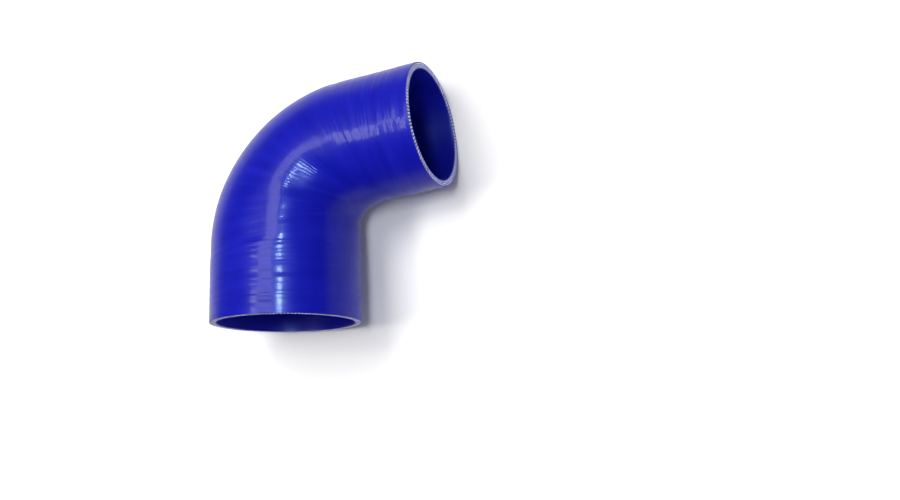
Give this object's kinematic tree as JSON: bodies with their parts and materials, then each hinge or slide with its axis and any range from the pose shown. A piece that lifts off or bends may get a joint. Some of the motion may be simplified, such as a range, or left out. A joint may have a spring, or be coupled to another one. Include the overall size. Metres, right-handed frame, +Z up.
{
  "type": "silicone elbow hose",
  "caption": "Reducing elbow hose of fabric-reinforced silicone rubber, one piece with two plain cut ends, lying on its side.",
  "frame": {"origin": "on the bench under the middle of the hose, which lies on its side", "axes": "+Z up from the bench; the large leg's axis is in the YZ plane, its mouth towards -Y and tipped 6 degrees up; the bend turns towards +X"},
  "size_m": [0.1418, 0.1488, 0.0935],
  "materials": {
    "blue_silicone": "glossy"
  },
  "bodies": {
    "root": {"elbow_hose": "blue_silicone"}
  },
  "joints": []
}
